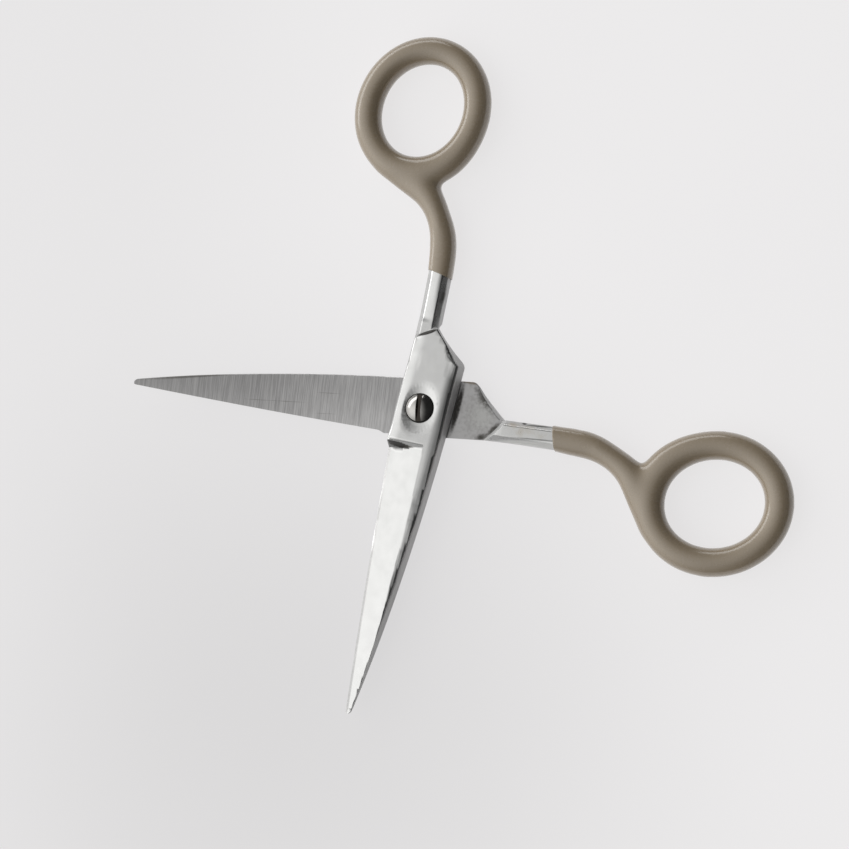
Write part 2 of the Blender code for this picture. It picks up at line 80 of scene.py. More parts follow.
class Graph:
    """A node tree with short ways to add nodes and join them."""

    def __init__(self, tree: bpy.types.NodeTree) -> None:
        """Wrap the shader tree to build in."""
        self.tree = tree

    def node(self, kind: str, inputs: dict | None = None, **settings: object) -> bpy.types.Node:
        """Add a node.

        Args:
            kind: The node's type, less its ShaderNode prefix.
            inputs: Values or output sockets for the node's inputs, by name or index.
            settings: The node's own properties.

        Returns:
            The new node.
        """
        node = self.tree.nodes.new(f"ShaderNode{kind}")
        for name, value in settings.items():
            setattr(node, name, value)
        for key, value in (inputs or {}).items():
            self.feed(node.inputs[key], value)
        return node

    def feed(self, socket: bpy.types.NodeSocket, value: object) -> None:
        """Set an input socket, or link an output to it.

        Args:
            socket: The input.
            value: A value, or the output socket that feeds the input.
        """
        if isinstance(value, bpy.types.NodeSocket):
            self.tree.links.new(value, socket)
        else:
            socket.default_value = value

    def maths(self, mode: Mode, first: object, second: object = 0.0) -> bpy.types.NodeSocket:
        """Combine two values or sockets, and return the result's socket."""
        return self.node("Math", {0: first, 1: second}, operation=mode.value).outputs[0]

    def ramp(self, value: object, low: float, high: float, to_low: float = 0.0,
             to_high: float = 1.0) -> bpy.types.NodeSocket:
        """A smooth step of a value.

        Args:
            value: The value or socket.
            low: Where the step starts.
            high: Where it ends.
            to_low: The result below the step.
            to_high: The result above it.

        Returns:
            The result's socket.
        """
        inputs = {"Value": value, "From Min": low, "From Max": high, "To Min": to_low,
                  "To Max": to_high}
        return self.node("MapRange", inputs, interpolation_type="SMOOTHSTEP").outputs["Result"]

    def ramp_line(self, value: object, low: float, high: float) -> bpy.types.NodeSocket:
        """Bring a value into 0 at low to 1 at high in a straight line, and hold it there."""
        inputs = {"Value": value, "From Min": low, "From Max": high}
        return self.node("MapRange", inputs).outputs["Result"]

    def blend(self, share: object, first: object, second: object) -> bpy.types.NodeSocket:
        """Mix two colours, where share is how much of the second one shows."""
        inputs = {"Factor": share, 6: first, 7: second}
        return self.node("Mix", inputs, data_type="RGBA").outputs[2]

    def mix_value(self, share: object, first: object, second: object) -> bpy.types.NodeSocket:
        """Mix two numbers, where share is how much of the second one shows."""
        return self.node("Mix", {0: share, 2: first, 3: second}, data_type="FLOAT").outputs[0]

    def tint(self, colour: object, shade: object) -> bpy.types.NodeSocket:
        """Multiply a colour or vector by a shade, part by part."""
        inputs = {0: colour, 1: shade}
        return self.node("VectorMath", inputs, operation="MULTIPLY").outputs[0]

    def local(self, place: object, turn: float = 0.0, centre: object = NOT_TURNED,
              scale: object = NOT_SCALED) -> bpy.types.NodeSocket:
        """Bring coordinates into a frame of their own.

        Args:
            place: The coordinates' socket.
            turn: The frame's turn about z.
            centre: Its origin.
            scale: Its unit along each axis.

        Returns:
            The new coordinates' socket.
        """
        inputs = {"Vector": place, "Location": centre, "Rotation": (0, 0, turn), "Scale": scale}
        return self.node("Mapping", inputs, vector_type="TEXTURE").outputs[0]

    def group(self, tree: bpy.types.NodeTree, inputs: dict) -> bpy.types.Node:
        """Place a node group.

        Args:
            tree: The group's tree.
            inputs: Values or sockets for its named inputs.

        Returns:
            The group node.
        """
        node = self.tree.nodes.new("ShaderNodeGroup")
        node.node_tree = tree
        for name, value in inputs.items():
            self.feed(node.inputs[name], value)
        return node


def new_material(name: str) -> tuple[bpy.types.Material, Graph, bpy.types.Node]:
    """Start a material.

    Args:
        name: Its name.

    Returns:
        The material, its graph and its Principled BSDF.
    """
    mat = bpy.data.materials.new(name)
    mat.use_nodes = True
    return mat, Graph(mat.node_tree), mat.node_tree.nodes["Principled BSDF"]


def smooth(share: float) -> float:
    """Ease a share in and out, held between 0 and 1."""
    share = max(0.0, min(1.0, share))
    return share * share * (3 - 2 * share)


def new_group(name: str, inputs: dict[str, float | tuple], outputs: list[str]) -> tuple:
    """Start a shader node group.

    Args:
        name: The group's name.
        inputs: Each input's name with its default; a tuple makes a vector.
        outputs: The names of its value outputs.

    Returns:
        The tree, its graph, its input node and its output node.
    """
    tree = bpy.data.node_groups.new(name, "ShaderNodeTree")
    for label, default in inputs.items():
        kind = "NodeSocketVector" if isinstance(default, tuple) else "NodeSocketFloat"
        socket = tree.interface.new_socket(label, in_out="INPUT", socket_type=kind)
        socket.default_value = default
    for label in outputs:
        tree.interface.new_socket(label, in_out="OUTPUT", socket_type="NodeSocketFloat")
    return tree, Graph(tree), tree.nodes.new("NodeGroupInput"), tree.nodes.new("NodeGroupOutput")


def build_lines_group() -> bpy.types.NodeTree:
    """Fine scratches that run across a piece, along its local y.

    Returns:
        The group's tree, which puts out the lines as a value about 0.5.
    """
    tree, graph, given, result = new_group(
        "grind_lines", {"Vector": (0.0, 0.0, 0.0), "Per Metre": 5000.0, "Wander": 0.02}, ["Lines"]
    )
    along = given.outputs["Per Metre"]
    across = graph.maths(Mode.MULTIPLY, along, given.outputs["Wander"])
    scale = graph.node("CombineXYZ", {"X": along, "Y": across, "Z": across}).outputs[0]
    point = graph.tint(given.outputs["Vector"], scale)
    noise = graph.node("TexNoise", {"Vector": point, "Scale": 1.0, "Detail": 3.0,
                                    "Roughness": 0.65})
    graph.feed(result.inputs["Lines"], noise.outputs["Fac"])
    return tree


def build_patch_group() -> bpy.types.NodeTree:
    """A ragged patch round the origin, one unit in radius.

    Returns:
        The group's tree, which puts out a mask: 1 inside the patch, 0 outside.
    """
    tree, graph, given, result = new_group(
        "patch",
        {"Vector": (0.0, 0.0, 0.0), "Grain Vector": (0.0, 0.0, 0.0), "Grain": 2500.0,
         "Ragged": 0.5, "Softness": 0.5},
        ["Mask"],
    )
    reach = graph.node("VectorMath", {0: given.outputs["Vector"]}, operation="LENGTH")
    noise = graph.node("TexNoise", {"Vector": given.outputs["Grain Vector"],
                                    "Scale": given.outputs["Grain"], "Detail": 4.0})
    push = graph.maths(Mode.SUBTRACT, noise.outputs["Fac"], 0.5)
    push = graph.maths(Mode.MULTIPLY, push, given.outputs["Ragged"])
    reach = graph.maths(Mode.ADD, reach.outputs["Value"], push)
    inner = graph.maths(Mode.SUBTRACT, 1.0, given.outputs["Softness"])
    step = graph.node("MapRange", {"Value": reach, "From Min": inner, "From Max": 1.0,
                                   "To Min": 1.0, "To Max": 0.0},
                      interpolation_type="SMOOTHSTEP")
    graph.feed(result.inputs["Mask"], step.outputs["Result"])
    return tree


def build_mottle_group() -> bpy.types.NodeTree:
    """Slow unevenness of a surface.

    Returns:
        The group's tree, which puts out a value about 0 between plus and minus its amount.
    """
    tree, graph, given, result = new_group(
        "mottle", {"Vector": (0.0, 0.0, 0.0), "Scale": 200.0, "Amount": 0.1}, ["Value"]
    )
    noise = graph.node("TexNoise", {"Vector": given.outputs["Vector"],
                                    "Scale": given.outputs["Scale"], "Detail": 3.0})
    centred = graph.maths(Mode.SUBTRACT, noise.outputs["Fac"], 0.5)
    doubled = graph.maths(Mode.MULTIPLY, centred, 2.0)
    graph.feed(result.inputs["Value"],
               graph.maths(Mode.MULTIPLY, doubled, given.outputs["Amount"]))
    return tree


LINES = build_lines_group()
PATCH = build_patch_group()
MOTTLE = build_mottle_group()


@dataclass(frozen=True)
class StainOrPaintedLight:
    """A stained, tinted or worn place on a forging, or a painted shadow or painted highlight on
    it.

    Its centre and radii are in millimetres along the half, across it and up from the table.
    """

    at: tuple[float, float, float]
    radii: tuple[float, float, float]
    colour: tuple[float, float, float]
    strength: float = 0.8
    turn: float = 0.0
    ragged: float = 0.6
    softness: float = 0.6
    grain: float = 2200.0

    def lay(self, graph: Graph, place: bpy.types.NodeSocket,
            base: bpy.types.NodeSocket) -> tuple[bpy.types.NodeSocket, bpy.types.NodeSocket]:
        """Lay the staining, tint, wear or painted light over a colour.

        Args:
            graph: The material's graph.
            place: Coordinates along and across the half.
            base: The colour under it.

        Returns:
            The new colour, and the mask of this mark.
        """
        centre = [part * MM for part in self.at]
        radii = [part * MM for part in self.radii]
        local = graph.local(place, radians(self.turn), centre, radii)
        patch = graph.group(PATCH, {"Vector": local, "Grain Vector": place, "Grain": self.grain,
                                    "Ragged": self.ragged, "Softness": self.softness})
        mask = graph.maths(Mode.MULTIPLY, patch.outputs["Mask"], self.strength)
        return graph.blend(mask, base, (*self.colour, 1.0)), mask


@dataclass(frozen=True)
class SteelFinish:
    """Forged stainless steel: polished outside, ground crosswise on its inner face."""

    name: str
    half_turn: float
    flip: float
    inner_height: float
    polished: tuple[float, float, float] = (0.565, 0.565, 0.56)
    ground: tuple[float, float, float] = (0.40, 0.395, 0.395)
    ground_roughness: float = 0.36
    stain_and_painted_light_roughness: float = 0.5
    lines_per_metre: float = 7000.0
    broad_share: float = 1 / 9
    fine_lines_per_metre: float = 900.0
    fine_height: float = 0.1
    mottle_scale: float = 420.0
    mottle_amount: float = 0.09
    bump_strength: float = 0.2
    bump_depth: float = 0.02 * MM
    side_tones: Step = (0.4, 0.93, 1.05, 1.0)
    side_roughness: Step = (0.4, 0.93, 0.5, 0.16)
    side_metal: Step = (0.4, 0.93, 0.25, 1.0)
    bladed: Step = (0.0, 3 * MM, 0.0, 1.0)
    line_tones: Step = (0.3, 0.7, 0.78, 1.2)
    broad_tones: Step = (0.3, 0.7, -0.025, 0.025)
    worn: Step = (8 * MM, 42 * MM, 0.92, 0.66)
    # Painted shade: the ground face darker at the spine side and lighter towards the cutting
    # edge, as its hollow would reflect.
    across: Step = (-4 * MM, 5 * MM, 0.93, 1.14)
    keen_across: Step = (-1.1 * MM, -0.7 * MM, 0.0, 1.0)
    keen_along: Step = (7.8 * MM, 8.4 * MM, 0.0, 1.0)
    keen_dark: Step = (0.4, 0.8, 0.6, 0.0)
    near_face: Step = (0.25 * MM, 0.35 * MM, 1.0, 0.0)
    level: Step = (0.9, 0.98, 0.0, 1.0)
    stains_and_painted_light: tuple[StainOrPaintedLight, ...] = ()

    def material(self) -> bpy.types.Material:
        """Build the finish.

        Returns:
            The material.
        """
        mat, graph, shader = new_material(self.name)
        coords = graph.node("TexCoord")
        place = graph.local(coords.outputs["Object"], self.half_turn,
                            scale=(1.0, self.flip, 1.0))
        parts = graph.node("SeparateXYZ", {0: place}).outputs
        upright = graph.node("SeparateXYZ", {0: coords.outputs["Normal"]}).outputs["Z"]
        upright = graph.maths(Mode.ABSOLUTE, upright)
        inner = self.inner_mask(graph, parts["Z"], upright)
        bladed = graph.ramp(parts["X"], *self.bladed)
        lines = graph.group(LINES, {"Vector": place, "Per Metre": self.lines_per_metre,
                                    "Wander": 0.02}).outputs["Lines"]
        mottle = graph.group(MOTTLE, {"Vector": place, "Scale": self.mottle_scale,
                                      "Amount": self.mottle_amount}).outputs[0]
        tone = graph.mix_value(bladed, 1.0, self.ground_tone(graph, place, parts, lines))
        keen = graph.maths(Mode.MULTIPLY, graph.ramp(parts["Y"], *self.keen_across),
                           graph.ramp(parts["X"], *self.keen_along))
        keen = graph.maths(Mode.MULTIPLY, keen, graph.ramp(upright, *self.keen_dark))
        side = graph.maths(Mode.MULTIPLY, graph.ramp(upright, *self.side_tones),
                           graph.maths(Mode.SUBTRACT, 1.0, keen))
        colour = graph.blend(inner, graph.tint(self.polished, side),
                             graph.tint(self.ground, tone))
        colour = graph.tint(colour, graph.maths(Mode.ADD, mottle, 1.0))
        rough = graph.mix_value(inner, graph.ramp(upright, *self.side_roughness),
                                self.ground_roughness)
        rough = graph.maths(Mode.ADD, rough, mottle)
        # Lay the stainings and tints, and the painted shadows and painted highlights among them;
        # each is rougher where it lies.
        for stain_or_light in self.stains_and_painted_light:
            colour, mask = stain_or_light.lay(graph, place, colour)
            rough = graph.mix_value(mask, rough, self.stain_and_painted_light_roughness)
        fine = graph.group(LINES, {"Vector": place, "Per Metre": self.fine_lines_per_metre,
                                   "Wander": 0.6}).outputs["Lines"]
        height = graph.mix_value(graph.maths(Mode.MULTIPLY, inner, bladed),
                                 graph.maths(Mode.MULTIPLY, fine, self.fine_height), lines)
        bump = graph.node("Bump", {"Strength": self.bump_strength, "Distance": self.bump_depth,
                                   "Height": height})
        graph.feed(shader.inputs["Base Color"], colour)
        graph.feed(shader.inputs["Roughness"], rough)
        graph.feed(shader.inputs["Normal"], bump.outputs[0])
        graph.feed(shader.inputs["Metallic"], graph.ramp(upright, *self.side_metal))
        return mat

    def ground_tone(self, graph: Graph, place: bpy.types.NodeSocket,
                    parts: bpy.types.bpy_prop_collection,
                    lines: bpy.types.NodeSocket) -> bpy.types.NodeSocket:
        """Shade the ground face by its grinding lines, by where it is worn, and with a painted
        shade that grows lighter towards the cutting edge.

        Args:
            graph: The material's graph.
            place: Coordinates along and across the half.
            parts: The same, one by one.
            lines: The fine lines.

        Returns:
            The shade, about 1.
        """
        broad = graph.group(LINES, {"Vector": place, "Wander": 0.1,
                                    "Per Metre": self.lines_per_metre * self.broad_share})
        tone = graph.maths(Mode.ADD, graph.ramp(lines, *self.line_tones),
                           graph.ramp(broad.outputs["Lines"], *self.broad_tones))
        tone = graph.maths(Mode.MULTIPLY, tone, graph.ramp(parts["X"], *self.worn))
        # Painted shade across the face, lighter towards the cutting edge.
        return graph.maths(Mode.MULTIPLY, tone, graph.ramp(parts["Y"], *self.across))

    def inner_mask(self, graph: Graph, height: bpy.types.NodeSocket,
                   upright: bpy.types.NodeSocket) -> bpy.types.NodeSocket:
        """Find the ground inner face.

        Args:
            graph: The material's graph.
            height: The height above the table.
            upright: How nearly level the surface is.

        Returns:
            A mask: 1 on the flat inner face of blade and boss.
        """
        off = graph.maths(Mode.ABSOLUTE, graph.maths(Mode.SUBTRACT, height, self.inner_height))
        return graph.maths(Mode.MULTIPLY, graph.ramp(off, *self.near_face),
                           graph.ramp(upright, *self.level))


@dataclass(frozen=True)
class VinylFinish:
    """Soft dip-moulded vinyl with a gentle gloss."""

    name: str = "taupe_vinyl_soft"
    colour: tuple[float, float, float] = (0.31, 0.25, 0.177)
    roughness: float = 0.27
    slow_scale: float = 120.0
    slow_amount: float = 0.07
    skin_scale: float = 900.0
    skin_amount: float = 0.06
    pore_scale: float = 2600.0
    bump_strength: float = 0.12
    bump_depth: float = 0.03 * MM
    coat_roughness: float = 0.2

    def material(self) -> bpy.types.Material:
        """Build the finish.

        Returns:
            The material.
        """
        mat, graph, shader = new_material(self.name)
        place = graph.node("TexCoord").outputs["Object"]
        slow = graph.group(MOTTLE, {"Vector": place, "Scale": self.slow_scale,
                                    "Amount": self.slow_amount}).outputs[0]
        skin = graph.group(MOTTLE, {"Vector": place, "Scale": self.skin_scale,
                                    "Amount": self.skin_amount}).outputs[0]
        pores = graph.node("TexNoise", {"Vector": place, "Scale": self.pore_scale,
                                        "Detail": 2.0})
        bump = graph.node("Bump", {"Strength": self.bump_strength, "Distance": self.bump_depth,
                                   "Height": pores.outputs["Fac"]})
        graph.feed(shader.inputs["Base Color"],
                   graph.tint(self.colour, graph.maths(Mode.ADD, slow, 1.0)))
        graph.feed(shader.inputs["Roughness"], graph.maths(Mode.ADD, skin, self.roughness))
        graph.feed(shader.inputs["Normal"], bump.outputs[0])
        shader.inputs["Specular IOR Level"].default_value = 0.5
        shader.inputs["Coat Weight"].default_value = 1.0
        shader.inputs["Coat Roughness"].default_value = self.coat_roughness
        return mat


@dataclass(frozen=True)
class ScrewFinish:
    """Bright nickel on the screw, with fine turning marks and the lower part of the slot painted
    near black.
    """

    name: str = "bright_screw"
    colour: tuple[float, float, float] = (0.41, 0.40, 0.385)
    slot_black: tuple[float, float, float] = (0.025, 0.02, 0.016)
    roughness: float = 0.16
    mottle_scale: float = 1400.0
    mottle_amount: float = 0.12
    slot_turn: float = radians(92)
    deep: Step = (5.93 * MM, 6.53 * MM, 0.95, 0.0)
    in_slot: Step = (0.5 * MM, 0.6 * MM, 1.0, 0.0)

    def material(self) -> bpy.types.Material:
        """Build the finish.

        Returns:
            The material.
        """
        mat, graph, shader = new_material(self.name)
        place = graph.node("TexCoord").outputs["Object"]
        mottle = graph.group(MOTTLE, {"Vector": place, "Scale": self.mottle_scale,
                                      "Amount": self.mottle_amount}).outputs[0]
        parts = graph.node("SeparateXYZ", {0: graph.local(place, self.slot_turn)}).outputs
        off = graph.maths(Mode.ABSOLUTE, parts["Y"])
        # The lower part of the slot is painted near black.
        slot_darkened = graph.maths(Mode.MULTIPLY, graph.ramp(parts["Z"], *self.deep),
                            graph.ramp(off, *self.in_slot))
        colour = graph.tint(self.colour, graph.maths(Mode.ADD, mottle, 1.0))
        graph.feed(shader.inputs["Base Color"],
                   graph.blend(slot_darkened, colour, (*self.slot_black, 1.0)))
        graph.feed(shader.inputs["Roughness"], graph.maths(Mode.ADD, mottle, self.roughness))
        shader.inputs["Metallic"].default_value = 1.0
        return mat


def add_piece(name: str, bm: bmesh.types.BMesh, mat: bpy.types.Material) -> bpy.types.Object:
    """Make a bmesh an object of the scene.

    Args:
        name: The piece's name.
        bm: Its shape, which is freed.
        mat: Its material.

    Returns:
        The new object, at the origin.
    """
    mesh = bpy.data.meshes.new(name)
    bm.to_mesh(mesh)
    bm.free()
    mesh.materials.append(mat)
    mesh.shade_smooth()
    piece = bpy.data.objects.new(name, mesh)
    bpy.context.scene.collection.objects.link(piece)
    return piece


def merged_copy(node: str) -> bmesh.types.BMesh:
    """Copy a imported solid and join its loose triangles.

    Args:
        node: The solid's name.

    Returns:
        The joined copy.
    """
    bm = bmesh.new()
    bm.from_mesh(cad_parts[node].data)
    bmesh.ops.remove_doubles(bm, verts=bm.verts, dist=WELD)
    return bm


def baked(piece: bpy.types.Object) -> bmesh.types.BMesh:
    """Apply a piece's modifiers.

    Args:
        piece: The piece, which is removed.

    Returns:
        Its final shape.
    """
    graph = bpy.context.evaluated_depsgraph_get()
    bm = bmesh.new()
    bm.from_object(piece, graph)
    mesh = piece.data
    bpy.data.objects.remove(piece)
    bpy.data.meshes.remove(mesh)
    return bm


# The outer face is what looks up this nearly and lies above this height in the half's frame.
OUTER_UP = 0.75
OUTER_LEAST = 0.35 * MM


@dataclass(frozen=True)
class Dish:
    """The oval hollow round the screw head: its rim turned into a soft roll.

    The shares crisp and soft say where the hollow's wall starts and ends on the way out, in
    the solid and here. It is left alone inside the radius seat and below the height floor.
    """

    centre: float = 0.15 * MM
    length: float = 1.45
    radius: float = 3.5 * MM
    depth: float = 0.45 * MM
    crisp: tuple[float, float] = (0.714, 1.0)
    soft: tuple[float, float] = (0.45, 1.17)
    seat: float = 2.88 * MM
    floor: float = 1.98 * MM

    def out(self, x: float, y: float) -> float:
        """How far out a place along and across the half is, 1 being the rim."""
        return hypot((x - self.centre) / self.length, y) / self.radius

    def soften(self, bm: bmesh.types.BMesh) -> None:
        """Swap the hollow's crisp rim for a soft one.

        Args:
            bm: The half in its own frame, its outer face up.
        """
        for vert in bm.verts:
            x, y, z = vert.co
            out = self.out(x, y)
            if z < self.floor or hypot(x, y) < self.seat or out > self.soft[1]:
                continue
            share = max(0.0, min(1.0, (out - self.crisp[0]) / (self.crisp[1] - self.crisp[0])))
            crisp = self.depth * (1 - share * share)
            soft = self.depth * (1 - smooth((out - self.soft[0]) / (self.soft[1] - self.soft[0])))
            vert.co.z += crisp - soft


@dataclass(frozen=True)
class Crown:
    """A face that falls away in a curve towards one of its edges, in the half's own frame.

    The tables widths, slopes and shifts hold, by the place along the half, how wide the curve
    is, how steep it is at the edge, and how far the edge moves out.
    """

    wall_side: float
    start: float
    end: float
    widths: tuple[tuple[float, float], ...]
    slopes: tuple[tuple[float, float], ...]
    shifts: tuple[tuple[float, float], ...] = ((0.0, 0.0),)
    wall_up: float = 0.85
    wall_turn: float = 0.3
    outer_up: float = 0.85
    seat_reach: float = 4.0 * MM
    past: float = 0.0
    fade: float = 1.5 * MM
    end_fade: float = 1.5 * MM
    wall_reach: float = 1.5 * MM
    look_along: float = 3.0 * MM
    slack: float = 0.02 * MM

    @staticmethod
    def read(table: tuple[tuple[float, float], ...], x: float) -> float:
        """Read a table that is straight between its entries.

        Args:
            table: Pairs of a place and a value.
            x: The place along the half.

        Returns:
            The value there.
        """
        (x0, w0), *rest = table
        for x1, w1 in rest:
            if x < x1:
                return w0 + (w1 - w0) * max(0.0, (x - x0) / (x1 - x0))
            x0, w0 = x1, w1
        return w0

    def edge_line(self, bm: bmesh.types.BMesh) -> list[tuple[Vector, Vector]]:
        """Find the edge that the face falls towards.

        Args:
            bm: The half in its own frame, its outer face up.

        Returns:
            The two ends of each of the edge's pieces.
        """
        found = []
        for edge in bm.edges:
            if len(edge.link_faces) != 2:
                continue
            first, second = edge.link_faces
            if first.normal.z < second.normal.z:
                first, second = second, first
            middle = (edge.verts[0].co + edge.verts[1].co) / 2
            if (first.normal.z > self.outer_up and second.normal.z < self.wall_up
                    and second.normal.y * self.wall_side > self.wall_turn
                    and self.start < middle.x < self.end and middle.z > OUTER_LEAST
                    and hypot(middle.x / Dish.length, middle.y) > self.seat_reach):
                found.append(tuple(v.co.copy() for v in edge.verts))
        return found

    def lower(self, bm: bmesh.types.BMesh, line: list[tuple[Vector, Vector]]) -> None:
        """Let the outer face fall away, and lean the wall under its edge to match.

        Args:
            bm: The half in its own frame, its outer face up.
            line: The pieces of the edge.
        """
        tops = self.tops(bm)
        for vert in bm.verts:
            x = vert.co.x
            share = min((x - self.start) / self.fade, (self.end + self.past - x) / self.end_fade)
            if share <= 0 or vert.co.z < 0:
                continue
            near_line = [self.nearest(vert.co, *piece) for piece in line
                         if min(piece[0].x, piece[1].x) - self.look_along < x
                         < max(piece[0].x, piece[1].x) + self.look_along]
            if not near_line:
                continue
            away, foot = min(near_line, key=lambda found: found[0])
            share = smooth(share)
            width = self.read(self.widths, x)
            drop = share * self.read(self.slopes, x) * width / 2
            shift = share * self.wall_side * self.read(self.shifts, x)
            low = int(x // MM)
            top = self.read(((low * MM, tops.get(low, foot.z)),
                             ((low + 1) * MM, tops.get(low + 1, foot.z))), x)
            outside = (vert.co.y - foot.y) * self.wall_side > self.slack
            if outside and away < self.wall_reach:
                height = max(0.0, min(1.0, vert.co.z / foot.z))
                vert.co.z -= height * max(0.0, drop - (top - foot.z))
                vert.co.y += shift * height
            elif not outside and away < width and vert.co.z > OUTER_LEAST:
                near = (1 - away / width) ** 2
                vert.co.z = min(vert.co.z, top - drop * near)
                vert.co.y += shift * near

    @staticmethod
    def tops(bm: bmesh.types.BMesh) -> dict[int, float]:
        """Measure the half's greatest height at each millimetre along it.

        Args:
            bm: The half in its own frame, its outer face up.

        Returns:
            The heights, by the millimetre.
        """
        tops = {}
        for vert in bm.verts:
            key = round(vert.co.x / MM)
            tops[key] = max(tops.get(key, 0.0), vert.co.z)
        return tops

    @staticmethod
    def nearest(point: Vector, start: Vector, end: Vector) -> tuple[float, Vector]:
        """Find the nearest place on a straight piece, seen from above.

        Args:
            point: The point.
            start: One end of the piece.
            end: Its other end.

        Returns:
            The distance, and the place.
        """
        along = (end - start).to_2d()
        share = (point - start).to_2d().dot(along) / max(along.length_squared, 1e-18)
        place = start.lerp(end, max(0.0, min(1.0, share)))
        return (point - place).to_2d().length, place


SPINE_CROWN = Crown(
    -1.0, -10.4 * MM, 33.5 * MM,
    ((6 * MM, 1.6 * MM), (10 * MM, 1.2 * MM), (20 * MM, 0.95 * MM), (33 * MM, 0.7 * MM)),
    ((6 * MM, 0.40), (14 * MM, 0.5)),
    ((-4 * MM, 0.0), (6 * MM, 0.3 * MM), (15 * MM, 0.45 * MM)),
    fade=3.0 * MM, end_fade=14.0 * MM,
)
EDGE_CROWN = Crown(1.0, -14.5 * MM, 7.9 * MM, ((0.0, 2.2 * MM),), ((0.0, 0.42),), past=3 * MM)
SHANK_CROWN = Crown(-1.0, -33.0 * MM, -16.4 * MM, ((0.0, 1.2 * MM),),
                    ((-24 * MM, 0.3), (-19 * MM, 0.05)), wall_up=0.73)
SHANK_EDGE_CROWN = Crown(1.0, -33.0 * MM, -16.4 * MM, ((0.0, 2.6 * MM),), ((0.0, 0.24),),
                         wall_up=0.73)
CROWNS = (SPINE_CROWN, EDGE_CROWN, SHANK_CROWN, SHANK_EDGE_CROWN)


